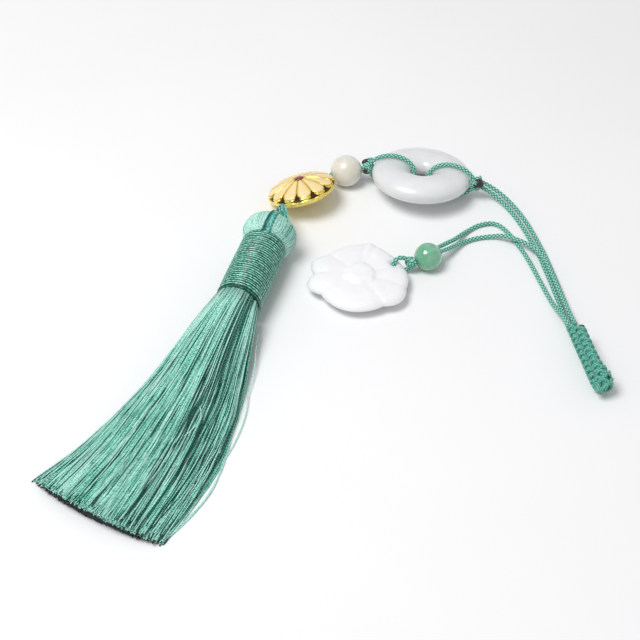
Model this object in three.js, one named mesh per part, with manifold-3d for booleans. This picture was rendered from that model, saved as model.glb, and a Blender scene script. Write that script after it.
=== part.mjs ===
// A tassel pendant laid out on a flat surface: a silk tassel, a puffed gold flower bead, a pearl,
// a white jade ring, a knotted hanging loop, and a carved white jade plaque on a green bead.
// Millimetres, +Z up, resting on z = 0, with the middle of its footprint at the origin.
// The hanging cord leaves to the right, and the tassel's cut end points to the lower left.

import * as THREE from "three";
import { mergeVertices } from "three/addons/utils/BufferGeometryUtils.js";
import Module from "manifold-3d";

const wasm = await Module();
wasm.setup();

const gap = 0.3; // what touching pieces keep between their faces

const cord = { radius: 0.65, sides: 8, step: 2.6 };

const neck = {
  foot: [-25.4, 5.0, 7.05], // centre of the binding's lower edge
  heading: [0.2975, 0.9543, 0.027],
  wrapLength: 24,
  wrapRadius: 6.7,
  coreRadius: 5.9,
  rootRadius: 5.8, // how far out the locks start
};

const skirt = {
  columns: 26, // locks side by side across the fan
  layers: 5, // locks on top of each other at its middle
  sections: 7,
  fill: 0.5, // a lock's half width, as a part of its column
  rootHalfHeight: 0.36,
  tipHalfHeight: 0.32,
  endHeight: 5.2,
  shortUnder: 0.06, // how much shorter the lowest locks are, as a part of the length
  uneven: 0.02, // how much the cut end wanders, as a part of the length
};

const flower = {
  centre: [-7.5, 56.1, 5.0],
  radius: 10.7,
  petals: 12,
  notchDepth: 1.9,
  leanBack: 19,
  leanLeft: 15,
  firstNotch: -122, // the notch that the tassel's loop enters, in degrees
};

const pearl = { centre: [6.2, 65.4, 4.8], radius: 4.9 };

const jadeRing = {
  centre: [29.3, 62.3, 5.55],
  outerRadius: 15.3,
  holeRadius: 3.3,
  thickness: 7.2,
  heading: -13.9, // the line from knot to knot, in degrees from +X
  tilt: 12, // the near side stands higher
};

const greenBead = { centre: [29.9, 27.1, 4.05], radius: 4.15 };

const plaque = {
  centre: [9.5, 19.0, 0],
  edgeHeight: 3.0,
  topHeight: 5.8,
  flatShare: 0.45, // share of the outline that lies flat on the surface
  pointsPerLobe: 5,
};

const braid = {
  legRadius: 1.85,
  grooveDepth: 0.3,
  knotPitch: 2.5,
  ringsPerKnot: 3,
  sides: 8,
};

// Routes of the free cords, chosen by hand, in millimetres.
// The pair from the jade ring runs one strand over the other and settles side by side.
const ringCordLower = [
  [47.9, 57.7, 4.5],
  [49.6, 57.4, 3.5],
  [51.7, 56.4, 2.4],
  [54.0, 54.4, 1.4],
  [55.8, 52.0, 0.8],
  [57.3, 49.1, 0.7],
  [58.8, 45.5, 0.7],
  [60.2, 41.6, 0.7],
  [61.4, 37.8, 0.7],
  [62.5, 34.1, 0.7],
  [63.5, 30.4, 0.7],
  [64.3, 26.6, 0.7],
  [65.1, 22.8, 0.7],
  [65.9, 18.9, 0.7],
  [66.7, 14.7, 0.7],
  [67.6, 10.1, 0.7],
  [68.4, 5.0, 0.85],
  [69.1, -0.2, 1.13],
];
const ringCordUpper = [
  [48.0, 58.3, 6.1],
  [49.8, 58.0, 5.1],
  [52.1, 57.0, 4.0],
  [54.7, 55.0, 2.9],
  [56.8, 52.6, 2.1],
  [58.5, 49.7, 1.8],
  [60.2, 46.1, 1.5],
  [61.8, 42.1, 1.1],
  [63.1, 38.3, 0.8],
  [64.2, 34.6, 0.7],
  [65.2, 30.8, 0.7],
  [66.0, 27.0, 0.7],
  [66.8, 23.1, 0.7],
  [67.6, 19.2, 0.7],
  [68.4, 15.0, 0.7],
  [69.3, 10.4, 0.7],
  [70.1, 5.2, 0.85],
  [70.8, 0.2, 1.13],
];
// The two cords from the green bead: the first passes under the second, which then crosses the pair.
const beadCordLeft = [
  [33.05, 30.5, 4.75],
  [35.6, 33.3, 3.7],
  [38.2, 36.4, 2.4],
  [40.7, 39.8, 1.3],
  [43.2, 42.5, 0.7],
  [45.6, 44.3, 0.7],
  [48.1, 45.3, 0.7],
  [50.3, 45.5, 0.7],
  [52.3, 44.6, 0.7],
  [54.2, 42.3, 0.7],
  [55.8, 39.4, 0.7],
  [57.2, 36.4, 0.7],
  [58.6, 33.1, 0.7],
  [59.8, 29.7, 0.7],
  [61.0, 25.8, 0.7],
  [62.1, 21.9, 0.7],
  [63.2, 18.1, 0.7],
  [64.3, 14.3, 0.7],
  [65.3, 10.9, 0.9],
  [66.4, 7.4, 1.6],
  [67.7, 3.6, 2.5],
  [69.1, -0.2, 2.8],
];
const beadCordRight = [
  [34.05, 29.2, 4.35],
  [36.4, 31.7, 3.2],
  [38.7, 34.4, 2.0],
  [41.0, 36.7, 1.1],
  [43.3, 38.1, 0.7],
  [45.6, 38.9, 0.7],
  [47.9, 39.4, 0.7],
  [50.2, 39.4, 1.0],
  [52.3, 38.8, 1.7],
  [54.4, 37.8, 2.25],
  [56.5, 36.7, 2.4],
  [58.6, 35.4, 2.4],
  [60.6, 33.7, 2.4],
  [62.4, 31.6, 2.4],
  [64.0, 29.0, 2.35],
  [65.1, 26.0, 2.3],
  [65.9, 22.6, 2.25],
  [66.8, 18.6, 2.25],
  [67.6, 14.6, 2.25],
  [68.5, 10.2, 2.3],
  [69.6, 5.0, 2.55],
  [70.8, 0.2, 2.8],
];

// The braided hanging loop: out along the surface, round, and back on top of itself.
const braidLower = [
  [69.95, -0.3, 1.95],
  [71.6, -6.6, 1.95],
  [73.2, -13.0, 1.95],
  [74.6, -19.0, 1.95],
];
const braidTurn = [
  [75.5, -22.8, 2.1],
  [76.2, -25.0, 3.9],
  [75.9, -22.8, 5.8],
];
const braidUpper = [
  [75.1, -19.0, 5.95],
  [73.8, -13.6, 5.95],
  [72.4, -8.0, 5.95],
  [71.2, -3.4, 5.95],
];

// Edges of the skirt, from the neck to the cut end, seen from above.
const skirtLeftEdge = [
  [-32.3, 4.6],
  [-41.9, -9.9],
  [-52.4, -27.1],
  [-64.7, -43.2],
  [-79.8, -57.8],
];
const skirtRightEdge = [
  [-19.2, 3.8],
  [-20.4, -6.5],
  [-22.4, -20.5],
  [-24.6, -35.5],
  [-28.8, -51.0],
  [-36.2, -66.6],
  [-44.4, -79.9],
];

// The plaque's outline: each row is a notch and how far the lobe after it swells outward.
const plaqueLobes = [
  { x: 13.2, y: 3.9, swell: 0.9 },
  { x: 5.2, y: 13.2, swell: 0.9 },
  { x: 2.0, y: 14.2, swell: 1.3 },
  { x: -9.4, y: 9.2, swell: 2.9 },
  { x: -13.2, y: 1.2, swell: 3.2 },
  { x: -11.2, y: -6.9, swell: 4.6 },
  { x: 6.6, y: -11.8, swell: 2.6 },
  { x: 13.5, y: -4.7, swell: 1.1 },
];

const material = {
  silk: new THREE.MeshStandardMaterial({ color: 0x5aaa91, roughness: 0.45 }),
  binding: new THREE.MeshStandardMaterial({ color: 0x3c9380, roughness: 0.4 }),
  cord: new THREE.MeshStandardMaterial({ color: 0x3f9a7d, roughness: 0.6 }),
  gold: new THREE.MeshStandardMaterial({ color: 0xe2b04a, roughness: 0.2, metalness: 1 }),
  pearl: new THREE.MeshStandardMaterial({ color: 0xf4f1ea, roughness: 0.2 }),
  whiteJade: new THREE.MeshStandardMaterial({ color: 0xe9e8ee, roughness: 0.25 }),
  greenStone: new THREE.MeshStandardMaterial({ color: 0x7fc9a0, roughness: 0.15 }),
};

const radians = THREE.MathUtils.degToRad;
const vector = (p) => new THREE.Vector3(p[0], p[1], p[2]);

// Repeatable noise in 0..1 for a whole number.
function scatter(n) {
  const s = Math.sin(n * 127.1 + 3.7) * 43758.5453;
  return s - Math.floor(s);
}

function signedVolume(geometry) {
  const position = geometry.attributes.position;
  const index = geometry.index;
  const a = new THREE.Vector3();
  const b = new THREE.Vector3();
  const c = new THREE.Vector3();
  let total = 0;
  for (let i = 0; i < index.count; i += 3) {
    a.fromBufferAttribute(position, index.getX(i));
    b.fromBufferAttribute(position, index.getX(i + 1));
    c.fromBufferAttribute(position, index.getX(i + 2));
    total += a.dot(b.cross(c)) / 6;
  }
  return total;
}

// Positions only, shared vertices merged, faces turned outward.
function welded(geometry) {
  const plain = geometry.clone();
  plain.deleteAttribute("normal");
  plain.deleteAttribute("uv");
  const merged = mergeVertices(plain, 1e-4);
  if (signedVolume(merged) < 0) {
    const index = merged.index;
    for (let i = 0; i < index.count; i += 3) {
      const first = index.getX(i);
      index.setX(i, index.getX(i + 1));
      index.setX(i + 1, first);
    }
  }
  return merged;
}

function toSolid(geometry) {
  const merged = welded(geometry);
  const vertProperties = new Float32Array(merged.attributes.position.array);
  const triVerts = new Uint32Array(merged.index.array);
  return new wasm.Manifold(new wasm.Mesh({ numProp: 3, vertProperties, triVerts }));
}

function toGeometry(solid) {
  const mesh = solid.getMesh();
  const geometry = new THREE.BufferGeometry();
  geometry.setAttribute("position", new THREE.BufferAttribute(mesh.vertProperties.slice(), 3));
  geometry.setIndex(new THREE.BufferAttribute(mesh.triVerts.slice(), 1));
  return geometry;
}

// A closed body lofted through rings that have the same number of points, closed at both ends.
function loft(rings) {
  const count = rings[0].length;
  const middle = (ring) => ring.reduce((sum, p) => sum.add(p), new THREE.Vector3()).divideScalar(count);
  const positions = rings.flat().flatMap((p) => [p.x, p.y, p.z]);
  const faces = [];
  for (let r = 0; r + 1 < rings.length; r += 1) {
    for (let i = 0; i < count; i += 1) {
      const next = (i + 1) % count;
      const a = r * count + i;
      const b = r * count + next;
      faces.push(a, b, b + count, a, b + count, a + count);
    }
  }
  const start = rings.length * count;
  const end = start + 1;
  const first = middle(rings[0]);
  const last = middle(rings[rings.length - 1]);
  positions.push(first.x, first.y, first.z, last.x, last.y, last.z);
  for (let i = 0; i < count; i += 1) {
    const next = (i + 1) % count;
    const rim = (rings.length - 1) * count;
    faces.push(start, next, i, end, rim + i, rim + next);
  }
  const geometry = new THREE.BufferGeometry();
  geometry.setAttribute("position", new THREE.Float32BufferAttribute(positions, 3));
  geometry.setIndex(faces);
  return welded(geometry);
}

// What would lie below the surface is pressed flat onto it.
function restOnSurface(geometry) {
  const position = geometry.attributes.position;
  for (let i = 0; i < position.count; i += 1) {
    position.setZ(i, Math.max(position.getZ(i), 0));
  }
  return geometry;
}

function smoothPath(points) {
  return new THREE.CatmullRomCurve3(points.map(vector), false, "centripetal");
}

// A round cord along a path, as an extruded section.
function cordAlong(points, radius = cord.radius) {
  const path = smoothPath(points);
  const section = new THREE.Shape();
  for (let i = 0; i < cord.sides; i += 1) {
    const angle = (i / cord.sides) * 2 * Math.PI;
    const place = [radius * Math.cos(angle), radius * Math.sin(angle)];
    if (i === 0) section.moveTo(...place);
    else section.lineTo(...place);
  }
  section.closePath();
  const steps = Math.ceil(path.getLength() / cord.step);
  return new THREE.ExtrudeGeometry(section, { steps, extrudePath: path, bevelEnabled: false });
}

// Points along the neck's axis, measured from the binding's lower edge.
function onNeck(distance) {
  return vector(neck.foot).addScaledVector(vector(neck.heading).normalize(), distance);
}

// A body turned on the neck's axis from rows of distance along it and radius.
function turnedOnNeck(rows, sides = 20) {
  const axis = vector(neck.heading).normalize();
  const side = new THREE.Vector3(axis.y, -axis.x, 0).normalize();
  const up = new THREE.Vector3().crossVectors(side, axis);
  return rows.map(({ along, radius }) => {
    const ring = [];
    for (let i = 0; i < sides; i += 1) {
      const angle = (i / sides) * 2 * Math.PI;
      const p = onNeck(along);
      p.addScaledVector(side, radius * Math.cos(angle));
      p.addScaledVector(up, radius * Math.sin(angle));
      ring.push(p);
    }
    return ring;
  });
}

// The tassel: a domed head, the neck inside the binding, and locks that fan out from it.
function tasselHead() {
  const rows = [
    { along: -3.4, radius: 3.4 },
    { along: -2.6, radius: 5.6 },
    { along: -1.4, radius: 6.3 },
    { along: -0.4, radius: 6.3 },
    { along: -0.2, radius: neck.coreRadius },
    { along: neck.wrapLength + 0.4, radius: neck.coreRadius },
    { along: neck.wrapLength + 1.2, radius: 6.9 },
    { along: neck.wrapLength + 2.6, radius: 7.7 },
    { along: neck.wrapLength + 5.0, radius: 8.05 },
    { along: neck.wrapLength + 7.0, radius: 7.4 },
    { along: neck.wrapLength + 8.4, radius: 6.0 },
    { along: neck.wrapLength + 9.4, radius: 4.0 },
    { along: neck.wrapLength + 10.0, radius: 1.8 },
  ];
  return restOnSurface(loft(turnedOnNeck(rows)));
}

// The binding thread as one sleeve, a little fuller at its middle.
function neckBinding() {
  const inner = neck.coreRadius + gap;
  const outer = neck.wrapRadius;
  const end = neck.wrapLength;
  const rows = [
    { along: 0.1, radius: inner },
    { along: 0.1, radius: outer - 0.3 },
    { along: 0.5, radius: outer - 0.05 },
    { along: end / 2, radius: outer },
    { along: end - 0.5, radius: outer - 0.05 },
    { along: end - 0.1, radius: outer - 0.3 },
    { along: end - 0.1, radius: inner },
  ];
  const hollow = [
    { along: -1, radius: inner },
    { along: end + 1, radius: inner },
  ];
  const sleeve = toSolid(loft(turnedOnNeck(rows)));
  return toGeometry(sleeve.subtract(toSolid(loft(turnedOnNeck(hollow)))));
}

// The locks' places: a is across the skirt, from -1 to 1, and level is 0 underneath and 1 on top.
// The fan thins out towards its two edges, so its outer columns hold fewer locks.
function lockPlaces() {
  const places = [];
  for (let column = 0; column < skirt.columns; column += 1) {
    const a = ((column + 0.5) / skirt.columns) * 2 - 1;
    const fullest = skirt.layers - (column % 2);
    const layers = Math.max(1, Math.round(fullest * Math.sqrt(1 - a * a)));
    for (let layer = 0; layer < layers; layer += 1) {
      places.push({ a, level: layers === 1 ? 0 : layer / (layers - 1) });
    }
  }
  return places;
}

// The skirt at a share t of its length: a lock's middle, and the width that each column has there.
// It starts as the round neck and settles into a low fan on the surface.
function skirtAt({ a, level }, t, leftEdge, rightEdge) {
  const left = leftEdge.getPointAt(t);
  const right = rightEdge.getPointAt(t);
  const thick = Math.sqrt(1 - a * a);
  const settle = THREE.MathUtils.smoothstep(t, 0.0, 0.42);
  const full = THREE.MathUtils.lerp(11.5, skirt.endHeight, Math.min(1, t / 0.75));
  const onSurface = skirt.tipHalfHeight / 2;
  const fanned = onSurface + level * thick * full;
  const round = onNeck(0).z + neck.rootRadius * (2 * level - 1) * thick;
  const middle = new THREE.Vector3().lerpVectors(left, right, (a + 1) / 2);
  middle.z = Math.max(THREE.MathUtils.lerp(round, fanned, settle), onSurface);
  return { middle, column: left.distanceTo(right) / skirt.columns };
}

// One three-sided lock with its flat side down, from inside the neck to its own cut end.
function lock(place, number, leftEdge, rightEdge) {
  const { a, level } = place;
  const reach = 1 - skirt.shortUnder * (1 - level) - skirt.uneven * scatter(number);
  const heading = vector(neck.heading).normalize();
  const side = new THREE.Vector3(heading.y, -heading.x, 0).normalize();
  const root = onNeck(-0.9).addScaledVector(side, neck.rootRadius * a);
  root.z += neck.rootRadius * (2 * level - 1) * Math.sqrt(1 - a * a);
  const stations = [{ middle: root, column: (2 * neck.rootRadius) / skirt.columns }];
  for (let i = 1; i < skirt.sections; i += 1) {
    stations.push(skirtAt(place, reach * (i / (skirt.sections - 1)), leftEdge, rightEdge));
  }
  const rings = stations.map(({ middle, column }, i) => {
    const t = i / (skirt.sections - 1);
    const halfWidth = skirt.fill * column;
    const halfHeight = THREE.MathUtils.lerp(skirt.rootHalfHeight, skirt.tipHalfHeight, t);
    const ahead = stations[Math.min(i + 1, stations.length - 1)].middle;
    const behind = stations[Math.max(i - 1, 0)].middle;
    const run = new THREE.Vector3().subVectors(ahead, behind).setZ(0).normalize();
    const across = new THREE.Vector3(-run.y, run.x, 0);
    return [90, 210, 330].map((angle) => {
      const corner = middle.clone();
      corner.addScaledVector(across, halfWidth * Math.cos(radians(angle)));
      corner.z = Math.max(0, corner.z + halfHeight * Math.sin(radians(angle)));
      return corner;
    });
  });
  return loft(rings);
}

function tassel() {
  const flat = (points) => smoothPath(points.map(([x, y]) => [x, y, 0]));
  const leftEdge = flat(skirtLeftEdge);
  const rightEdge = flat(skirtRightEdge);
  const solids = [toSolid(tasselHead())];
  lockPlaces().forEach((place, number) => {
    solids.push(toSolid(lock(place, number, leftEdge, rightEdge)));
  });
  return toGeometry(wasm.Manifold.union(solids));
}

// The puffed flower bead: two shallow domes meeting in a rim, notched between the petal tips.
function flowerBead() {
  const perPetal = 4;
  const count = flower.petals * perPetal;
  const rows = [
    { share: 0.1, height: 3.75, notch: 0, crease: 0.2 },
    { share: 0.3, height: 3.6, notch: 0, crease: 1 },
    { share: 0.55, height: 3.0, notch: 0, crease: 1 },
    { share: 0.8, height: 2.0, notch: 0.2, crease: 1 },
    { share: 0.95, height: 1.1, notch: 1, crease: 0.6 },
    { share: 0.97, height: 0.3, notch: 0.9, crease: 0 },
    { share: 1.0, height: -0.1, notch: 0.25, crease: 0 },
    { share: 0.98, height: -0.8, notch: 0.2, crease: 0 },
    { share: 0.8, height: -2.1, notch: 0, crease: 0 },
    { share: 0.5, height: -3.3, notch: 0, crease: 0 },
    { share: 0.2, height: -3.9, notch: 0, crease: 0 },
  ];
  const rings = rows.map(({ share, height, notch, crease }) => {
    const ring = [];
    for (let i = 0; i < count; i += 1) {
      const angle = radians(flower.firstNotch) + (i / count) * 2 * Math.PI;
      const between = i % perPetal === 0 ? 1 : 0; // one where two petals meet
      const radius = flower.radius * share - flower.notchDepth * notch * between;
      const z = height - 0.35 * crease * between;
      ring.push(new THREE.Vector3(radius * Math.cos(angle), radius * Math.sin(angle), z));
    }
    return ring;
  });
  const geometry = loft(rings);
  geometry.rotateX(radians(-flower.leanBack));
  geometry.rotateY(radians(-flower.leanLeft));
  geometry.translate(...flower.centre);
  return restOnSurface(geometry);
}

// A ball with a small flat where it rests.
function ball({ centre, radius }) {
  const geometry = new THREE.SphereGeometry(radius, 20, 13);
  geometry.rotateX(Math.PI / 2);
  geometry.translate(...centre);
  return restOnSurface(welded(geometry));
}

// A route carried on past both its ends, in line.
function carriedOn(points, by) {
  const beyond = (end, before) => {
    const out = vector(end).sub(vector(before)).setLength(by);
    return vector(end).add(out).toArray();
  };
  const last = points.length - 1;
  return [beyond(points[0], points[1]), ...points, beyond(points[last], points[last - 1])];
}

// A body with the channel that a cord runs through, a gap wider than the cord.
function bored(body, cordPoints) {
  const channel = cordAlong(carriedOn(cordPoints, 2), cord.radius + gap);
  return toGeometry(toSolid(body).subtract(toSolid(channel)));
}

// A place in the jade ring's own frame: along the line of the knots, across it, and out of its face.
function onRing(along, across, out) {
  const p = new THREE.Vector3(along, across, out);
  p.applyAxisAngle(new THREE.Vector3(1, 0, 0), radians(-jadeRing.tilt));
  p.applyAxisAngle(new THREE.Vector3(0, 0, 1), radians(jadeRing.heading));
  return p.add(vector(jadeRing.centre));
}

// The jade ring: an oval section turned about the hole.
function jadeRingBody() {
  const middle = (jadeRing.outerRadius + jadeRing.holeRadius) / 2;
  const halfWidth = (jadeRing.outerRadius - jadeRing.holeRadius) / 2;
  const profile = [];
  const points = 12;
  for (let i = 0; i <= points; i += 1) {
    const angle = (i / points) * 2 * Math.PI;
    const x = middle + halfWidth * Math.cos(angle);
    profile.push(new THREE.Vector2(x, (jadeRing.thickness / 2) * Math.sin(angle)));
  }
  const geometry = new THREE.LatheGeometry(profile, 36);
  geometry.rotateX(Math.PI / 2);
  geometry.rotateX(radians(-jadeRing.tilt));
  geometry.rotateZ(radians(jadeRing.heading));
  geometry.translate(...jadeRing.centre);
  return restOnSurface(welded(geometry));
}

// A cord loop from a knot over the ring's face, down through the hole and back underneath.
// side is -1 for the knot by the pearl and 1 for the knot by the hanging cords.
function ringLoop(side) {
  const middle = (jadeRing.outerRadius + jadeRing.holeRadius) / 2;
  const reachAcross = (jadeRing.outerRadius - jadeRing.holeRadius) / 2 + cord.radius + 1.3 * gap;
  const reachOut = jadeRing.thickness / 2 + cord.radius + 1.3 * gap;
  const openAngle = 22; // how far each strand starts from the knot's middle
  const points = [];
  const count = 16;
  for (let i = 0; i <= count; i += 1) {
    const angle = radians(openAngle + (i / count) * (360 - 2 * openAngle));
    const along = side * (middle + reachAcross * Math.cos(angle));
    const out = reachOut * Math.sin(angle);
    const drift = 1.6 * Math.sin(angle) * Math.abs(Math.sin(angle / 2));
    points.push(onRing(along, drift, out).toArray());
  }
  return cordAlong(points);
}

// A tight knot: an oval body with raised wraps and, where the cord was trimmed, melted ends.
function tightKnot({ centre, heading, half, wraps, stubs }) {
  const geometry = new THREE.SphereGeometry(1, 12, 10);
  const position = geometry.attributes.position;
  for (let i = 0; i < position.count; i += 1) {
    const p = new THREE.Vector3().fromBufferAttribute(position, i);
    const ridge = 1 - 0.1 * Math.sin(wraps * Math.PI * (p.y + 1)) ** 2 * (1 - p.y * p.y);
    position.setXYZ(i, p.x * half[0] * ridge, p.y * half[1], p.z * half[2] * ridge);
  }
  let solid = toSolid(geometry);
  for (const { from, to } of stubs) {
    solid = solid.add(toSolid(cordAlong([from, to], cord.radius)));
  }
  const knot = toGeometry(solid);
  knot.rotateZ(radians(heading));
  knot.translate(...centre);
  return restOnSurface(knot);
}

// The hanging loop: a row of knots pulled tight, each a raised band.
function braidedLoop() {
  const path = smoothPath([...braidLower, ...braidTurn, ...braidUpper]);
  const knots = Math.round(path.getLength() / braid.knotPitch);
  const steps = knots * braid.ringsPerKnot;
  const frames = path.computeFrenetFrames(steps);
  const rings = [];
  for (let k = 0; k <= steps; k += 1) {
    const centre = path.getPointAt(k / steps);
    const groove = k % braid.ringsPerKnot === 0 ? braid.grooveDepth : 0;
    const radius = braid.legRadius - groove;
    const ring = [];
    for (let i = 0; i < braid.sides; i += 1) {
      const angle = (i / braid.sides) * 2 * Math.PI;
      const p = centre.clone();
      p.addScaledVector(frames.normals[k], radius * Math.cos(angle));
      p.addScaledVector(frames.binormals[k], radius * Math.sin(angle));
      ring.push(p);
    }
    rings.push(ring);
  }
  return restOnSurface(loft(rings));
}

// The plaque's outline as a closed row of points: straight chords between notches, swelled outward.
function plaqueOutline() {
  const points = [];
  plaqueLobes.forEach((row, n) => {
    const next = plaqueLobes[(n + 1) % plaqueLobes.length];
    const chord = new THREE.Vector2(next.x - row.x, next.y - row.y);
    const outward = new THREE.Vector2(chord.y, -chord.x).normalize();
    for (let i = 0; i < plaque.pointsPerLobe; i += 1) {
      const u = i / plaque.pointsPerLobe;
      const swell = row.swell * Math.sin(Math.PI * u) ** 0.75;
      const x = row.x + chord.x * u + outward.x * swell;
      const y = row.y + chord.y * u + outward.y * swell;
      points.push({ x, y, notch: i === 0 ? 1 : 0 });
    }
  });
  return points;
}

// The carved plaque: flat underneath, rounded edges, and a shallow blossom raised on its face.
function plaqueBody() {
  const outline = plaqueOutline();
  const { edgeHeight, topHeight, flatShare } = plaque;
  const rows = [
    { share: flatShare * 0.5, z: 0, crease: 0 },
    { share: flatShare, z: 0, crease: 0 },
    { share: 0.72, z: 0.9, crease: 0 },
    { share: 0.9, z: 2.0, crease: 0 },
    { share: 1.0, z: edgeHeight, crease: 0 },
    { share: 0.97, z: 3.9, crease: 0.1 },
    { share: 0.86, z: 4.8, crease: 0.4 },
    { share: 0.66, z: 5.3, crease: 0.5 },
    { share: 0.4, z: 5.1, crease: 0.3 },
    { share: 0.26, z: topHeight, crease: 0 },
    { share: 0.1, z: topHeight, crease: 0 },
  ];
  const rings = rows.map(({ share, z, crease }) => outline.map(({ x, y, notch }) => {
    const height = z - crease * notch;
    return new THREE.Vector3(x * share, y * share, height);
  }));
  const geometry = loft(rings);
  geometry.translate(...plaque.centre);
  return geometry;
}

// The loop that carries the plaque: over its face, down through the hole and back underneath.
const plaqueLoopRoute = [
  [23.7, 25.4, 4.6],
  [22.6, 25.2, 5.3],
  [21.2, 24.7, 5.7],
  [20.1, 24.1, 5.3],
  [19.6, 23.8, 3.6],
  [20.1, 23.7, 1.9],
  [21.3, 23.9, 1.1],
  [22.7, 24.2, 1.0],
  [23.8, 24.6, 1.4],
];

const beadKnot = { centre: [24.9, 25.1, 3.2], heading: 20, half: [1.3, 1.6, 1.8], wraps: 2, stubs: [] };
const beadStem = [
  [25.4, 25.2, 3.3],
  [27.6, 26.1, 3.6],
  [29.9, 27.1, 3.95],
  [33.1, 29.1, 4.35],
];

// The cord between the flower bead and the first knot, straight through the pearl.
const pearlCord = [
  [1.15, 63.3, 4.8],
  [6.2, 65.4, 4.8],
  [10.9, 66.4, 4.9],
];

// The head's own silk, gathered into a cord that enters the flower between two petals.
const tasselLoopRoute = [
  [-15.1, 37.95, 8.1],
  [-14.7, 40.6, 8.4],
  [-14.2, 43.1, 7.9],
  [-13.7, 45.1, 7.1],
  [-13.3, 46.5, 6.5],
];

function greenBeadBody() {
  return bored(ball(greenBead), beadStem);
}

// The knot beside the plaque, with the cord that runs on through the green bead.
function beadKnotBody() {
  const knot = toSolid(tightKnot(beadKnot));
  return toGeometry(knot.add(toSolid(cordAlong(beadStem))));
}

const pendant = new THREE.Group();

function place(name, geometry, finish) {
  const mesh = new THREE.Mesh(geometry, finish);
  mesh.name = name;
  pendant.add(mesh);
}

const knotReach = jadeRing.outerRadius + gap + 1.4;
const leftKnot = {
  centre: onRing(-knotReach, 0, 0).toArray(),
  heading: jadeRing.heading,
  half: [1.4, 2.6, 2.0],
  wraps: 2,
  stubs: [
    { from: [-0.3, 1.2, 0.6], to: [-0.9, 2.3, 2.0] },
    { from: [0.0, -1.4, -0.4], to: [0.1, -3.2, -0.6] },
  ],
};
const rightKnot = {
  centre: onRing(knotReach + 0.2, 0, 0).toArray(),
  heading: jadeRing.heading,
  half: [1.6, 2.1, 2.0],
  wraps: 2,
  stubs: [{ from: [0.2, 0.6, 0.8], to: [1.2, 0.9, 2.2] }],
};

place("tassel", tassel(), material.silk);
place("neck_binding", neckBinding(), material.binding);
place("tassel_loop", cordAlong(tasselLoopRoute, 1.05), material.binding);
place("flower_bead", flowerBead(), material.gold);
place("pearl", bored(ball(pearl), pearlCord), material.pearl);
place("pearl_cord", cordAlong(pearlCord), material.cord);
place("knot_left", tightKnot(leftKnot), material.cord);
place("jade_ring", jadeRingBody(), material.whiteJade);
place("ring_loop_left", ringLoop(-1), material.cord);
place("ring_loop_right", ringLoop(1), material.cord);
place("knot_right", tightKnot(rightKnot), material.cord);
place("cord_a1", cordAlong(ringCordLower), material.cord);
place("cord_a2", cordAlong(ringCordUpper), material.cord);
place("cord_b1", cordAlong(beadCordLeft), material.cord);
place("cord_b2", cordAlong(beadCordRight), material.cord);
place("braided_loop", braidedLoop(), material.cord);
place("green_bead", greenBeadBody(), material.greenStone);
place("bead_knot", beadKnotBody(), material.cord);
place("plaque_loop", cordAlong(plaqueLoopRoute), material.cord);
place("jade_plaque", bored(plaqueBody(), plaqueLoopRoute), material.whiteJade);

export default pendant;
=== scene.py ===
import math

import bpy
import numpy as np
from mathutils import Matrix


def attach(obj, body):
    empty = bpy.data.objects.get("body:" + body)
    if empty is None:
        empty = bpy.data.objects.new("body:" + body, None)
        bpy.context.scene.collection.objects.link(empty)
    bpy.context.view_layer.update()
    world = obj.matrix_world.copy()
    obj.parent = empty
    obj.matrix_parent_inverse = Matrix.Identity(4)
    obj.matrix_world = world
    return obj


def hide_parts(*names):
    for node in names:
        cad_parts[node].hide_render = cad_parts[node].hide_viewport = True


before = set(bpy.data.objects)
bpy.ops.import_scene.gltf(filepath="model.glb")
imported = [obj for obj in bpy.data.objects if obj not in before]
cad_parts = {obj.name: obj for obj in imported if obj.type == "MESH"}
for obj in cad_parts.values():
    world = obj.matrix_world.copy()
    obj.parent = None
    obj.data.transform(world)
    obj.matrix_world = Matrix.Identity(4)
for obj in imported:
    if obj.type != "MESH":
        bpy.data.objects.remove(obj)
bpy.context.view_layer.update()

# Looks of a tassel pendant on a pale floor. Shapes are worked out in millimetres, and addPiece turns
# them into metres.

view = {
    "target": (-2.0, 4.7, 0.0),
    "distance": 512.0,
    "elevation": 45.0,  # degrees above the floor
    "lens": 100.0,
    "sensor": 36.0,
    "clip": (0.01, 20.0),  # in metres
}

rise = math.radians(view["elevation"])
away, above = view["distance"] * math.cos(rise), view["distance"] * math.sin(rise)
place = (view["target"][0] * 0.001, (view["target"][1] - away) * 0.001, above * 0.001)
bpy.ops.object.camera_add(location=place, rotation=(math.pi / 2 - rise, 0, 0))
camera = bpy.context.object
camera.data.lens = view["lens"]
camera.data.sensor_width = view["sensor"]
camera.data.clip_start, camera.data.clip_end = view["clip"]
bpy.context.scene.camera = camera
print("camera placed")


def unit(v):
    return v / np.linalg.norm(v, axis=-1, keepdims=True)


# The matrix that turns points by degrees about x, y or z, given as axis 0, 1 or 2.
def turnMatrix(axis, degrees):
    angle = math.radians(degrees)
    first, second = ((1, 2), (2, 0), (0, 1))[axis]
    matrix = np.eye(3)
    matrix[first, first] = matrix[second, second] = math.cos(angle)
    matrix[second, first] = math.sin(angle)
    matrix[first, second] = -math.sin(angle)
    return matrix


# Angles an even step apart round a full turn, the first of them start steps on.
def evenAngles(count, start=0):
    return (np.arange(count) + start) * 2 * np.pi / count


def stepLengths(line):
    return np.linalg.norm(np.diff(line, axis=0), axis=1)


# The line read off again at count points an even distance apart.
def evenPoints(line, count):
    along = np.r_[0, np.cumsum(stepLengths(line))]
    places = np.linspace(0, along[-1], count)
    return np.stack([np.interp(places, along, line[:, k]) for k in range(line.shape[1])], 1)


stepsPerSpan = 24


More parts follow.
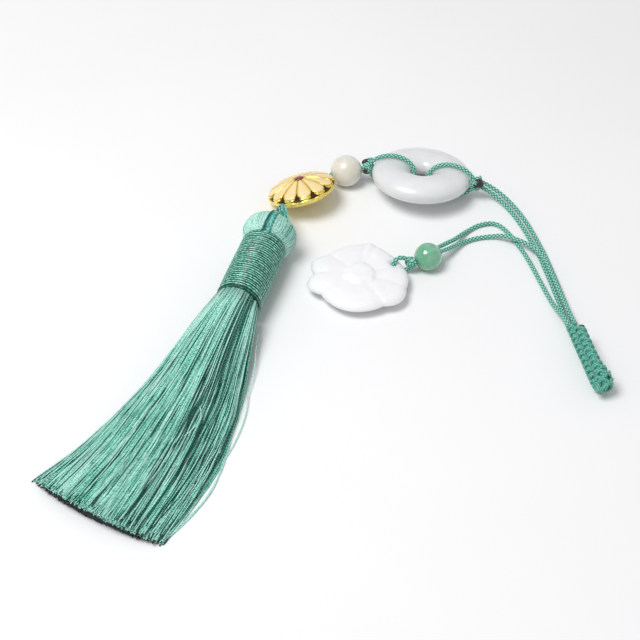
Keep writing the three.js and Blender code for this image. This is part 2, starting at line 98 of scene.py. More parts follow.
# Centripetal Catmull-Rom curve: each span is a cubic whose end slopes weigh the neighbouring
# spans by the square root of their lengths. It is read off at an even spacing.
def smoothPath(points, spacing):
    p = np.array(points, float)
    p = np.vstack([2 * p[0] - p[1], p, 2 * p[-1] - p[-2]])
    step = np.sqrt(stepLengths(p))[:, None]
    before, start, end, after = p[:-3], p[1:-2], p[2:-1], p[3:]
    d0, d1, d2 = step[:-2], step[1:-1], step[2:]
    out = ((start - before) / d0 - (end - before) / (d0 + d1) + (end - start) / d1) * d1
    into = ((end - start) / d1 - (after - start) / (d1 + d2) + (after - end) / d2) * d1
    u = np.linspace(0, 1, stepsPerSpan + 1)[:-1, None, None]
    curve = (2 * u**3 - 3 * u**2 + 1) * start + (u**3 - 2 * u**2 + u) * out
    curve = curve + (3 * u**2 - 2 * u**3) * end + (u**3 - u**2) * into
    line = np.vstack([curve.transpose(1, 0, 2).reshape(-1, p.shape[1]), p[-2]])
    length = stepLengths(line).sum()
    return evenPoints(line, max(3, int(round(length / spacing)) + 1))


# At each point of a line: the way to its side, and the way up from it.
def waysFrom(line, upright=(0, 0, 1), closed=False):
    if closed:
        heading = unit(np.roll(line, -1, axis=-2) - np.roll(line, 1, axis=-2))
    else:
        heading = unit(np.gradient(line, axis=-2))
    sideways = unit(np.cross(heading, np.array(upright, float)))
    return sideways, np.cross(sideways, heading)


# A profile carried along a line, or along many: each point gets a ring, across * cos(angle) to the
# side and over * sin(angle) upward.
def tube(line, across, over=None, sides=12, upright=(0, 0, 1), closed=False):
    over = across if over is None else over
    sideways, upward = waysFrom(line, upright, closed)
    angle = evenAngles(sides)
    widths = [np.asarray(w, float) for w in (across, over)]
    widths = [w if w.ndim and w.shape[-1] == sides else w[..., None] for w in widths]
    ring = sideways[..., None, :] * (widths[0] * np.cos(angle))[..., None]
    ring = ring + upward[..., None, :] * (widths[1] * np.sin(angle))[..., None]
    grid = line[..., None, :] + ring
    return grid if grid.ndim == 4 else grid[None]


# A profile turned about an axis: each row of (along, radius) becomes a ring at foot + axis * along,
# radius * cos(angle) to the side and radius * sin(angle) upward.
def turned(foot, axis, along, radius, sides=48):
    axis = unit(np.array(axis, float))
    sideways = unit(np.array([axis[1], -axis[0], 0.0])) if abs(axis[2]) < 0.99 else np.array([1.0, 0, 0])
    upward = np.cross(sideways, axis)
    angle = evenAngles(sides)
    radius = np.asarray(radius, float)
    radius = radius if radius.ndim == 2 else radius[:, None]
    grid = np.array(foot, float) + np.asarray(along, float)[:, None, None] * axis
    grid = grid + (radius * np.cos(angle))[..., None] * sideways
    return (grid + (radius * np.sin(angle))[..., None] * upward)[None]


# Quads between neighbouring rows of a grid whose columns close on themselves.
def wallQuads(rows, columns, roundRows):
    r, c = np.meshgrid(np.arange(rows if roundRows else rows - 1), np.arange(columns), indexing="ij")
    r, c = r.ravel(), c.ravel()
    corners = np.stack([[r, c], [r + 1, c], [r + 1, c + 1], [r, c + 1]]).transpose(2, 0, 1)
    return (corners[..., 0] % rows) * columns + corners[..., 1] % columns, corners


# A form for addPiece: tint is one number, or one for each strand, and shade one for each point.
def form(grid, roundRows=False, tint=None, shade=None):
    tint = tint if tint is None else np.atleast_1d(tint)
    return {"grid": grid, "roundRows": roundRows, "tint": tint, "shade": shade}


mapShift = 37.0  # how far along the map a strand's tint moves it, so that neighbours differ
capPlace = (0.325, 0.125)  # where closed ends read the map: half way up a ply


# Puts forms into one mesh, in metres, with a map of (millimetres along, share round) and a tint that
# is one number for each strand, or a shade for each point.
def addPiece(name, forms, finish, stands=(), rest=True):
    points, faces, places, tints = [], [], [], []
    start = 0
    for f in forms:
        grid = f["grid"]
        count, rows, columns, _ = grid.shape
        if rest:
            grid = np.concatenate([grid[..., :2], np.maximum(grid[..., 2:], 0)], axis=-1)
        index, corners = wallQuads(rows, columns, f["roundRows"])
        shift = start + np.arange(count) * rows * columns
        quads = (index[None] + shift[:, None, None]).reshape(-1, 4)
        steps = np.linalg.norm(np.diff(grid.mean(axis=2), axis=1), axis=-1)
        along = np.concatenate([np.zeros((count, 1)), np.cumsum(steps, axis=1)], axis=1)
        along = np.concatenate([along, along[:, -1:] + steps.mean()], axis=1)
        tint = np.random.default_rng(len(name)).random(count) if f["tint"] is None else f["tint"]
        u = along[:, corners[..., 0]] + (tint * mapShift)[:, None, None]
        v = np.broadcast_to(corners[..., 1] / columns, u.shape)
        faces.append(quads)
        places.append(np.stack([u, v], -1).reshape(-1, 2))
        if not f["roundRows"]:
            ends = np.arange(columns)
            last = (rows - 1) * columns + ends[::-1]
            for cap in (ends, last):
                faces.append(cap[None] + shift[:, None])
                places.append(np.tile(capPlace, (count * columns, 1)))
        points.append(grid.reshape(-1, 3))
        tints.append(np.repeat(tint, rows * columns) if f["shade"] is None else f["shade"].ravel())
        start += count * rows * columns
    mesh = bpy.data.meshes.new(name)
    points = np.concatenate(points) * 0.001
    mesh.vertices.add(len(points))
    mesh.vertices.foreach_set("co", points.astype(np.float32).ravel())
    corners = np.concatenate([f.ravel() for f in faces]).astype(np.int32)
    sizes = np.concatenate([np.full(len(f), f.shape[1]) for f in faces])
    mesh.loops.add(len(corners))
    mesh.loops.foreach_set("vertex_index", corners)
    mesh.polygons.add(len(sizes))
    mesh.polygons.foreach_set("loop_start", np.r_[0, np.cumsum(sizes)[:-1]].astype(np.int32))
    mesh.polygons.foreach_set("use_smooth", np.ones(len(sizes), bool))
    mesh.update(calc_edges=True)
    layer = mesh.uv_layers.new(name="strandMap")
    layer.data.foreach_set("uv", np.concatenate(places).astype(np.float32).ravel())
    tintLayer = mesh.attributes.new("tint", "FLOAT", "POINT")
    tintLayer.data.foreach_set("value", np.concatenate(tints).astype(np.float32))
    mesh.materials.append(finish)
    piece = bpy.data.objects.new(name, mesh)
    bpy.context.scene.collection.objects.link(piece)
    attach(piece, "root")
    if stands:
        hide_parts(*stands)
    return piece


# A colour as a screen shows it, 0 to 255, turned into light.
def paint(red, green, blue):
    share = np.array([red, green, blue]) / 255
    light = np.where(share <= 0.04045, share / 12.92, ((share + 0.055) / 1.055) ** 2.4)
    return (*light.tolist(), 1.0)


def newFinish(name, colour, roughness, **sockets):
    finish = bpy.data.materials.new(name)
    finish.use_nodes = True
    shader = finish.node_tree.nodes["Principled BSDF"]
    shader.inputs["Base Color"].default_value = paint(*colour)
    shader.inputs["Roughness"].default_value = roughness
    for socket, value in sockets.items():
        shader.inputs[socket.replace("_", " ")].default_value = value
    return finish, shader


def addNode(finish, kind, inputs=None, **settings):
    node = finish.node_tree.nodes.new("ShaderNode" + kind)
    for key, value in settings.items():
        setattr(node, key, value)
    for key, value in (inputs or {}).items():
        if isinstance(value, bpy.types.NodeSocket):
            finish.node_tree.links.new(value, node.inputs[key])
        else:
            node.inputs[key].default_value = value
    return node


def join(finish, source, target):
    finish.node_tree.links.new(source, target)


def arithmetic(finish, operation, first, second=0.0, third=0.0):
    node = addNode(finish, "Math", {0: first, 1: second, 2: third}, operation=operation)
    return node.outputs[0]


# Colours the finish by a factor: stops are rows of the factor's value and the colour there.
def dye(finish, shader, factor, stops):
    ramp = addNode(finish, "ValToRGB", {"Fac": factor})
    elements = ramp.color_ramp.elements
    while len(elements) < len(stops):
        elements.new(0.5)
    for element, (place, colour) in zip(elements, stops):
        element.position = place
        element.color = paint(*colour)
    join(finish, ramp.outputs["Color"], shader.inputs["Base Color"])


def strandPlace(finish):
    place = addNode(finish, "UVMap", uv_map="strandMap")
    parts = addNode(finish, "SeparateXYZ", {0: place.outputs["UV"]})
    return parts.outputs[0], parts.outputs[1]


def tintOf(finish):
    return addNode(finish, "Attribute", attribute_name="tint").outputs["Fac"]


def bumpFrom(finish, shader, height, distance, strength=1.0):
    facts = {"Height": height, "Distance": distance * 0.001, "Strength": strength}
    join(finish, addNode(finish, "Bump", facts).outputs["Normal"], shader.inputs["Normal"])


def noise(finish, scale, detail=3.0, roughness=0.5):
    place = addNode(finish, "TexCoord").outputs["Object"]
    facts = {"Vector": place, "Scale": scale, "Detail": detail, "Roughness": roughness}
    return addNode(finish, "TexNoise", facts).outputs["Fac"]


# The height of a thread wound round and round: |sin(pi * (along / pitch + round))|.
def windingHeight(finish, pitch):
    along, around = strandPlace(finish)
    turns = arithmetic(finish, "MULTIPLY_ADD", along, 1 / pitch, around)
    wave = arithmetic(finish, "SINE", arithmetic(finish, "MULTIPLY", turns, math.pi))
    return arithmetic(finish, "ABSOLUTE", wave)


# Silk of two plies wound round each other. Its shade is tint * fibres + crest * glint, where fibres
# is a stretched noise for the fibres' tone and painted speckled glints, and crest, the cube of the
# ply's height, gives each ply a painted highlight and painted shade between plies; dark threads get
# less of the glint.
def twistedSilk(name, stops, pitch, sheen, relief, glint):
    finish, shader = newFinish(
        name, stops[1][1], 0.36, Sheen_Weight=sheen, Sheen_Roughness=0.3, Specular_IOR_Level=0.5
    )
    ply = windingHeight(finish, pitch)
    crest = arithmetic(finish, "POWER", ply, 3.0)
    share = arithmetic(finish, "MINIMUM", arithmetic(finish, "MULTIPLY", tintOf(finish), 2.5), glint)
    shade = arithmetic(finish, "MULTIPLY", crest, share)
    contrast, offset = 4.4, -1.35
    fibres = arithmetic(finish, "MULTIPLY_ADD", noise(finish, 1700.0, 4.0, 0.8), contrast, offset)
    shade = arithmetic(finish, "MULTIPLY_ADD", tintOf(finish), fibres, shade)
    dye(finish, shader, shade, stops)
    bumpFrom(finish, shader, ply, relief, 0.9)
    return finish


# One thread wound close. Its shade grows with the tint, which follows the ridge of the turns, so it
# is dark between them as painted shade in the grooves, and noise for the fibres' tone and painted
# speckled glints is added.
def woundSilk(name, stops):
    finish, shader = newFinish(name, stops[1][1], 0.34, Sheen_Weight=0.2, Sheen_Roughness=0.3)
    ridges = arithmetic(finish, "MULTIPLY_ADD", tintOf(finish), 0.6, -0.27)
    shade = arithmetic(finish, "MULTIPLY_ADD", noise(finish, 1500.0, 4.0, 0.8), 1.1, ridges)
    dye(finish, shader, shade, stops)
    bumpFrom(finish, shader, noise(finish, 2600.0), 0.06, 0.7)
    return finish


# A round braid: two families of strands wind opposite ways, and the height is the product of
# |sin(strands * angle + along / pitch)| and |sin(strands * angle - along / pitch)|.
def braidHeight(along, angle, strands, pitch):
    run = along * np.pi / pitch
    return np.abs(np.sin(strands * angle + run)) * np.abs(np.sin(strands * angle - run))


# A braided cord's colour follows the weave's height: painted shade in the grooves between strands and
# lighter crests, with noise for the fibres.
def braidedFinish(name, stops, strands, pitch, relief):
    finish, shader = newFinish(name, stops[1][1], 0.55, Sheen_Weight=0.25, Sheen_Roughness=0.4)
    along, around = strandPlace(finish)
    run = arithmetic(finish, "MULTIPLY", along, math.pi / pitch)
    spin = arithmetic(finish, "MULTIPLY", around, 2 * math.pi * strands)
    waves = []
    for operation in ("ADD", "SUBTRACT"):
        wave = arithmetic(finish, "SINE", arithmetic(finish, operation, spin, run))
        waves.append(arithmetic(finish, "ABSOLUTE", wave))
    weave = arithmetic(finish, "MULTIPLY", waves[0], waves[1])
    fibres = noise(finish, 1800.0)
    shade = arithmetic(finish, "MULTIPLY_ADD", fibres, 0.3, arithmetic(finish, "MULTIPLY", weave, 0.85))
    dye(finish, shader, shade, stops)
    bumpFrom(finish, shader, shade, relief, 0.9)
    return finish


silkThread = twistedSilk(
    "silkThread",
    [(0.02, (0, 34, 28)), (0.2, (26, 150, 122)), (0.42, (112, 226, 200)), (0.8, (208, 255, 244))],
    pitch=1.0, sheen=0.12, relief=0.09, glint=0.3,
)
bindingThread = woundSilk(
    "bindingThread",
    [(0.42, (0, 16, 10)), (0.68, (16, 106, 84)), (0.95, (166, 248, 224))],
)
loopThread = twistedSilk(
    "loopThread",
    [(0.05, (2, 56, 52)), (0.45, (36, 136, 124)), (0.9, (132, 214, 200))],
    pitch=1.3, sheen=0.2, relief=0.02, glint=0.12,
)
braidedCord = braidedFinish(
    "braidedCord",
    [(0.1, (14, 96, 78)), (0.4, (62, 156, 134)), (0.9, (176, 234, 220))],
    strands=2, pitch=1.3, relief=0.08,
)
bandThread = braidedFinish(
    "bandThread",
    [(0.05, (40, 126, 106)), (0.45, (74, 162, 142)), (0.95, (128, 200, 188))],
    strands=2, pitch=1.1, relief=0.01,
)


# A body whose colour drifts with a cloud of noise: its scale, detail and roughness. Stretch is what
# it is multiplied by and what is added, grain the scale, depth in millimetres and strength of bumps,
# and bleed how far red, green and blue light travel inside.
def cloudedFinish(name, colour, roughness, cloud, stops, stretch=None, grain=None, bleed=None, **sockets):
    finish, shader = newFinish(name, colour, roughness, **sockets)
    drift = noise(finish, *cloud)
    if stretch:
        drift = arithmetic(finish, "MULTIPLY_ADD", drift, *stretch)
    dye(finish, shader, drift, stops)
    if bleed:
        shader.inputs["Subsurface Radius"].default_value = bleed
    if grain:
        scale, depth, strength = grain
        bumpFrom(finish, shader, noise(finish, scale), depth, strength)
    return finish


def goldFinish():
    finish, shader = newFinish("polishedGold", (252, 220, 112), 0.26, Metallic=0.5)
    wear = noise(finish, 700.0, 4.0)
    stops = [(0.3, (250, 214, 84)), (0.7, (255, 238, 140))]
    dye(finish, shader, wear, stops)
    join(finish, arithmetic(finish, "MULTIPLY_ADD", wear, 0.14, 0.1), shader.inputs["Roughness"])
    bumpFrom(finish, shader, wear, 0.02, 0.5)
    return finish


def jadeFinish(name, pale, deep, roughness, coat):
    return cloudedFinish(
        name, pale, roughness, cloud=(90.0, 5.0, 0.6),
        stops=[(0.3, deep), (0.62, pale)],
        grain=(420.0, 0.02, 0.4), bleed=(1.0, 0.9, 0.85), Subsurface_Weight=0.6,
        Subsurface_Scale=0.004, Coat_Weight=coat, Coat_Roughness=0.1,
    )


meltedEnd = cloudedFinish(
    "meltedCordEnd", (30, 26, 28), 0.35, cloud=(1500.0,),
    stops=[(0.3, (16, 14, 16)), (0.7, (58, 44, 46))],
    grain=(1500.0, 0.15, 1.0), Coat_Weight=0.3,
)
polishedGold = goldFinish()
creamEnamel = cloudedFinish(
    "creamEnamel", (250, 224, 168), 0.25, cloud=(300.0,),
    stops=[(0.25, (246, 208, 140)), (0.5, (250, 224, 168)), (0.8, (253, 236, 196))],
    stretch=(0.5, 0.2), grain=(500.0, 0.03, 0.5), Coat_Weight=0.8, Coat_Roughness=0.06,
)
plumEnamel = cloudedFinish(
    "plumEnamel", (132, 56, 54), 0.3, cloud=(900.0,),
    stops=[(0.3, (112, 40, 42)), (0.7, (154, 78, 72))],
    Coat_Weight=0.6,
)
# Painted shade for the notches between the flower's petals: a dark brown metal where the notch looks
# dark.
paintedNotchShade = cloudedFinish(
    "paintedNotchShade", (52, 30, 16), 0.3, cloud=(1200.0,),
    stops=[(0.3, (30, 16, 10)), (0.7, (96, 58, 24))],
    Metallic=0.4,
)
pearlNacre = cloudedFinish(
    "pearlNacre", (228, 226, 214), 0.3, cloud=(220.0,),
    stops=[(0.3, (222, 216, 200)), (0.55, (230, 228, 218)), (0.8, (226, 228, 226))],
    grain=(900.0, 0.01, 0.3), Subsurface_Weight=0.25, Subsurface_Scale=0.0015, Coat_Weight=0.7,
    Coat_Roughness=0.22, Sheen_Weight=0.2,
)
ringJade = jadeFinish("ringJade", (232, 233, 234), (222, 223, 224), 0.28, 0.4)
plaqueJade = jadeFinish("plaqueJade", (244, 244, 246), (237, 237, 240), 0.42, 0.12)
greenStone = cloudedFinish(
    "greenStone", (120, 196, 152), 0.1, cloud=(240.0, 5.0, 0.6),
    stops=[(0.3, (104, 182, 142)), (0.5, (134, 202, 168)), (0.72, (184, 226, 204))],
    bleed=(0.6, 1.0, 0.75), Subsurface_Weight=0.6, Subsurface_Scale=0.003, Coat_Weight=1.0,
    Coat_Roughness=0.04, Transmission_Weight=0.25,
)
print("finishes made")

cordLook = {
    "radius": 0.62, "relief": 0.12, "strands": 2, "pitch": 1.3, "sides": 18, "spacing": 0.22,
    "sunk": 0.2,  # share of the relief that goes inward
}

# Each free cord's length in metres, and its route.
freeCords = {
    "cord_a1": (0.0650, [
        (47.9, 57.7, 4.5), (49.6, 57.4, 3.5), (51.7, 56.4, 2.4), (54.0, 54.4, 1.4),
        (55.8, 52.0, 0.8), (57.3, 49.1, 0.7), (58.8, 45.5, 0.7), (60.2, 41.6, 0.7),
        (61.4, 37.8, 0.7), (62.5, 34.1, 0.7), (63.5, 30.4, 0.7), (64.3, 26.6, 0.7),
        (65.1, 22.8, 0.7), (65.9, 18.9, 0.7), (66.7, 14.7, 0.7), (67.6, 10.1, 0.7),
        (68.4, 5.0, 0.85), (69.1, -0.2, 1.13),
    ]),
    "cord_a2": (0.0662, [
        (48.0, 58.3, 6.1), (49.8, 58.0, 5.1), (52.1, 57.0, 4.0), (54.7, 55.0, 2.9),
        (56.8, 52.6, 2.1), (58.5, 49.7, 1.8), (60.2, 46.1, 1.5), (61.8, 42.1, 1.1),
        (63.1, 38.3, 0.8), (64.2, 34.6, 0.7), (65.2, 30.8, 0.7), (66.0, 27.0, 0.7),
        (66.8, 23.1, 0.7), (67.6, 19.2, 0.7), (68.4, 15.0, 0.7), (69.3, 10.4, 0.7),
        (70.1, 5.2, 0.85), (70.8, 0.2, 1.13),
    ]),
    "cord_b1": (0.0747, [
        (33.05, 30.5, 4.75), (35.6, 33.3, 3.7), (38.2, 36.4, 2.4), (40.7, 39.8, 1.3),
        (43.2, 42.5, 0.7), (45.6, 44.3, 0.7), (48.1, 45.3, 0.7), (50.3, 45.5, 0.7),
        (52.3, 44.6, 0.7), (54.2, 42.3, 0.7), (55.8, 39.4, 0.7), (57.2, 36.4, 0.7),
        (58.6, 33.1, 0.7), (59.8, 29.7, 0.7), (61.0, 25.8, 0.7), (62.1, 21.9, 0.7),
        (63.2, 18.1, 0.7), (64.3, 14.3, 0.7), (65.3, 10.9, 0.9), (66.4, 7.4, 1.6), (67.7, 3.6, 2.5),
        (69.1, -0.2, 2.8),
    ]),
    "cord_b2": (0.0682, [
        (34.05, 29.2, 4.35), (36.4, 31.7, 3.2), (38.7, 34.4, 2.0), (41.0, 36.7, 1.1),
        (43.3, 38.1, 0.7), (45.6, 38.9, 0.7), (47.9, 39.4, 0.7), (50.2, 39.4, 1.0),
        (52.3, 38.8, 1.7), (54.4, 37.8, 2.25), (56.5, 36.7, 2.4), (58.6, 35.4, 2.4),
        (60.6, 33.7, 2.4), (62.4, 31.6, 2.4), (64.0, 29.0, 2.35), (65.1, 26.0, 2.3),
        (65.9, 22.6, 2.25), (66.8, 18.6, 2.25), (67.6, 14.6, 2.25), (68.5, 10.2, 2.3),
        (69.6, 5.0, 2.55), (70.8, 0.2, 2.8),
    ]),
}


# A braided cord along a route: a round tube that swells by the braid's height.
def braidedTube(line, upright=(0, 0, 1), radius=cordLook["radius"]):
    along = np.r_[0, np.cumsum(stepLengths(line))][:, None]
    angle = evenAngles(cordLook["sides"])
    height = braidHeight(along, angle, cordLook["strands"], cordLook["pitch"])
    swell = radius + cordLook["relief"] * (height - cordLook["sunk"])
    return form(tube(line, swell, sides=cordLook["sides"], upright=upright), tint=0.0)


for name, (length, route) in freeCords.items():
    line = smoothPath(route, cordLook["spacing"])
    piece = addPiece(name + "_braid", [braidedTube(line)], braidedCord, [name], rest=False)
print("free cords laid")

neck = {
    "foot": (-25.4, 5.0, 7.05),
    "heading": (0.2975, 0.9543, 0.027),
    "wrapLength": 24.0,
    "wrapRadius": 6.7,
    "rootRadius": 6.4,  # how far out the skirt's threads start
    "threadPitch": 0.82,
    "threadRise": 0.24,
    "rim": (0.3, 0.9),  # how far the binding draws in at its two ends, and over what length
    "belly": 0.1,
    # Painted shade at the binding's two ends: the share of brightness kept there.
    "paintedEndShade": 0.6,  # shade of its two ends
    "sides": 72,
}

neckAxis = unit(np.array(neck["heading"]))
neckSide = unit(np.array([neckAxis[1], -neckAxis[0], 0.0]))
neckUp = np.cross(neckSide, neckAxis)

skirt = {
    "threads": 3900,
    "stations": 14,
    "radius": 0.2,
    "lift": 0.2,  # lowest height of a thread's middle
    "shortAside": 0.06,  # how much shorter the threads at the two sides are
    "shortUnder": 0.18,  # the part of that for the lowest ones
    "uneven": 0.03,
    "lean": 0.06,
    "bowed": (0.5, 0.45),  # how much of the outline's bend a middle thread loses: least, and chance
    "wander": 0.35,
    "rootHeight": 11.5,
    "endHeight": 5.2,
    "thinBy": 0.75,  # share of the length where the end height is reached
    "settleBy": 0.42,  # share where the round neck has turned into a fan
    # Painted shade: dark threads stand for the shade in the gaps between threads, and there are more of
    # them on the right, the side turned away from the light.
    "shadowThreads": (0.2, 0.1),  # share of dark threads, and how many more on the right
    "shadowTint": 0.04,
    "tints": (0.2, 0.8),
    # Painted shade under the cut end: below these levels the lower threads darken towards their ends.
    "paintedShadeEnds": (0.78, 0.42),  # level below which the cut ends are dark, at the left and at the right
    "paintedShadeFrom": (0.84, 0.93),
    # Painted light: threads just below the binding are lightened, over this reach of the length.
    "paintedTopLight": 0.5,  # how much lighter the threads are below the binding
    "paintedTopLightReach": (0.03, 0.4),
    # Painted shade and highlight across each thread: its three edges are lighter and darker as light
    # falls on a round thread.
    "paintedEdgeShade": (0.4, 1.5, 0.3),  # shade of a thread's three edges
    "leftEdge": [(-32.3, 4.6), (-41.9, -9.9), (-52.4, -27.1), (-64.7, -43.2), (-79.8, -57.8)],
    "rightEdge": [
        (-19.2, 3.8), (-20.4, -6.5), (-22.4, -20.5), (-24.6, -35.5), (-28.8, -51.0), (-36.2, -66.6),
        (-44.4, -79.9),
    ],
    "seed": 11,
}


def smoothStep(x, low, high):
    t = np.clip((x - low) / (high - low), 0, 1)
    return t * t * (3 - 2 * t)


# A thread's place at a share t of the skirt: between the two edges by a, from -1 to 1, at a height
# that turns from the round neck into a low fan that is thickest in the middle.
def skirtPlace(a, level, t):
    thick = np.sqrt(np.clip(1 - a * a, 0, 1))
    shares = np.linspace(0, 1, 400)
    sides = [evenPoints(smoothPath(skirt[edge], 0.3), 400) for edge in ("leftEdge", "rightEdge")]
    edges = [np.interp(t, shares, side[:, k]) for side in sides for k in (0, 1)]
    x = edges[0] + (edges[2] - edges[0]) * (a + 1) / 2
    y = edges[1] + (edges[3] - edges[1]) * (a + 1) / 2
    thinner = (skirt["endHeight"] - skirt["rootHeight"]) * np.minimum(1, t / skirt["thinBy"])
    fanned = skirt["lift"] + level * thick * (skirt["rootHeight"] + thinner)
    rounded = neck["foot"][2] + neck["rootRadius"] * (2 * level - 1) * thick
    settle = smoothStep(t, 0, skirt["settleBy"])
    z = np.maximum(rounded + (fanned - rounded) * settle, skirt["lift"])
    return np.stack([x, y, z], -1)


# All threads of the skirt: each keeps its place across and its level from the root to the cut end,
# leans, is pulled straighter than the outline, and sways by slow sines. A triangle is its section.
def skirtThreads():
    draw = np.random.default_rng(skirt["seed"])
    count = skirt["threads"]
    spread = np.sqrt(draw.random(count))
    turn = draw.random(count) * 2 * np.pi
    a = spread * np.cos(turn)
    thick = np.sqrt(np.maximum(1 - a * a, 1e-4))
    level = np.clip((spread * np.sin(turn) / thick + 1) / 2, 0, 1)
    reach = 1 - skirt["shortAside"] * (1 - thick * (1 - skirt["shortUnder"] * (1 - level)))
    reach = reach - skirt["uneven"] * draw.random(count) ** 2
    share = np.linspace(0, 1, skirt["stations"])
    t = share * reach[:, None]
    lean = draw.normal(0, skirt["lean"], count)[:, None]
    wave = draw.random(count)[:, None] * 2 * np.pi
    slow = 1.5 + 1.5 * draw.random(count)[:, None]
    across = np.clip(a[:, None] + lean * t**1.3, -1, 1)
    line = skirtPlace(across, level[:, None], t)
    chord = line[:, :1, :2] + (line[:, -1:, :2] - line[:, :1, :2]) * share[:, None]
    bowed = 1 - (1 - np.abs(a) ** 5) * (skirt["bowed"][0] + skirt["bowed"][1] * draw.random(count))
    line[..., :2] = chord + bowed[:, None, None] * (line[..., :2] - chord)
    sway = skirt["wander"] * smoothStep(t, 0.02, 0.5)
    line[..., 0] += sway * np.sin(slow * 2 * np.pi * t + wave)
    line[..., 1] += 0.4 * sway * np.cos(slow * 2 * np.pi * t + 2 * wave)
    line[..., 2] += 0.5 * sway * np.sin(slow * 2 * np.pi * t + 1.3 * wave) * (level > 0.3)[:, None]
    root = np.array(neck["foot"]) - 0.9 * neckAxis  # just below the binding's edge
    root = root + neck["rootRadius"] * a[:, None] * neckSide
    root[:, 2] += neck["rootRadius"] * (2 * level - 1) * np.sqrt(1 - a * a)
    line[:, 0] = root
    line[..., 2] = np.maximum(line[..., 2], skirt["lift"])
    # Painted shade: a share of threads is dark for the shade in the gaps, with more of them on the right
    # side.
    everywhere, rightShadeMore = skirt["shadowThreads"]
    deep = draw.random(count) < everywhere + rightShadeMore * smoothStep(a, 0.1, 0.7)
    tint = np.where(deep, skirt["shadowTint"], skirt["tints"][0] + skirt["tints"][1] * draw.random(count))
    # Painted shade under the cut end: low threads darken over their last part.
    low = level < thick**0.5 * np.interp(a, (-1, 1), skirt["paintedShadeEnds"])
    # Painted light: threads get lighter just below the binding.
    paintedLight = 1 + skirt["paintedTopLight"] * (1 - smoothStep(share, *skirt["paintedTopLightReach"]))
    shade = tint[:, None] * paintedLight * (1 - low[:, None] * smoothStep(share, *skirt["paintedShadeFrom"]))
    grid = tube(line, skirt["radius"], sides=3)
    # Painted shade and highlight on each thread's three edges.
    return grid, level, tint, shade[..., None] * np.array(skirt["paintedEdgeShade"])


strayThreads = [
    [
        (-19.3, -3.3, 4.0), (-20.0, -10.2, 3.0), (-20.3, -15.6, 2.0), (-21.7, -24.7, 1.0),
        (-22.2, -31.8, 0.6), (-23.8, -38.9, 0.5), (-26.6, -46.5, 0.4), (-28.7, -50.0, 0.4),
    ],
    [
        (-34.3, -35.6, 7.5), (-33.8, -38.6, 7.6), (-34.7, -41.8, 7.5), (-36.6, -44.5, 7.3),
        (-38.0, -45.8, 7.0),
    ],
    [
        (-27.2, -46.0, 0.5), (-30.0, -58.0, 0.4), (-34.6, -66.4, 0.4), (-40.0, -73.5, 0.4),
        (-43.0, -76.6, 0.4),
    ],
    [(-26.0, -42.0, 0.4), (-28.6, -53.5, 0.4), (-32.6, -63.0, 0.4), (-38.0, -70.5, 0.4)],
]

grid, level, tint, shade = skirtThreads()
upper = level >= np.median(level)
top, under = [form(grid[k], tint=tint[k], shade=shade[k]) for k in (upper, ~upper)]
strays = [form(tube(smoothPath(route, 0.8), 0.17, sides=3), tint=0.8) for route in strayThreads]
addPiece("skirt_threads_top", [top] + strays, silkThread, ["tassel"])
addPiece("skirt_threads_under", [under], silkThread)
print("skirt threads laid")

head = {
    "profile": [
        (23.0, 5.9), (24.4, 5.9), (25.2, 6.9), (26.6, 7.7), (29.0, 8.05), (31.0, 7.4), (32.4, 6.0),
        (33.4, 4.0), (34.0, 1.8), (34.4, 0.8),
    ],
    "threads": 260,  # in each layer
    "layersSunk": (0.16, 0.42),
    "radius": 0.17,
    "lean": 0.12,
    # Painted shade: a few threads are dark for the shade in the gaps between strands.
    "shadowShare": 0.04,
    "shadowTint": 0.2,
    "tints": (0.7, 0.7),
    "coreTint": 0.6,
    "seed": 5,
}


# Threads on the dome: each runs from the binding to the top at its own angle, on the profile's
# radius, with a slight lean.
def headThreads():
    draw = np.random.default_rng(head["seed"])
    profile = evenPoints(smoothPath(head["profile"], 0.2), 18)
    layers = []
    for layer, sunk in enumerate(head["layersSunk"]):
        count = head["threads"]
        angle = (np.arange(count) + 0.5 * layer + 0.5 * draw.random(count)) * 2 * np.pi / count
        share = np.linspace(0, 1, len(profile))
        lean = draw.normal(0, head["lean"], count)[:, None]
        angle = angle[:, None] + lean * share + 0.03 * np.sin(6 * share + 6 * draw.random((count, 1)))
        radius = np.maximum(profile[:, 1] - sunk + 0.12 * draw.random((count, 1)), 0.4)
        line = np.array(neck["foot"]) + profile[:, :1] * neckAxis
        line = line + (radius * np.cos(angle))[..., None] * neckSide
        line = line + (radius * np.sin(angle))[..., None] * neckUp
        thin = head["radius"] * np.clip(radius / 3.0, 0.45, 1)
        # Painted shade: a few dark threads for the gaps between strands.
        deep = draw.random(count) < head["shadowShare"]
        tint = np.where(deep, head["shadowTint"], head["tints"][0] + head["tints"][1] * draw.random(count))
        layers.append(form(tube(line, thin, sides=3, upright=neckSide + 0.3 * neckUp), tint=tint))
    core = turned(neck["foot"], neckAxis, profile[:, 0], np.maximum(profile[:, 1] - 0.5, 0.3))
    layers.append(form(core, tint=head["coreTint"]))
    return layers


addPiece("head_threads", headThreads(), silkThread)


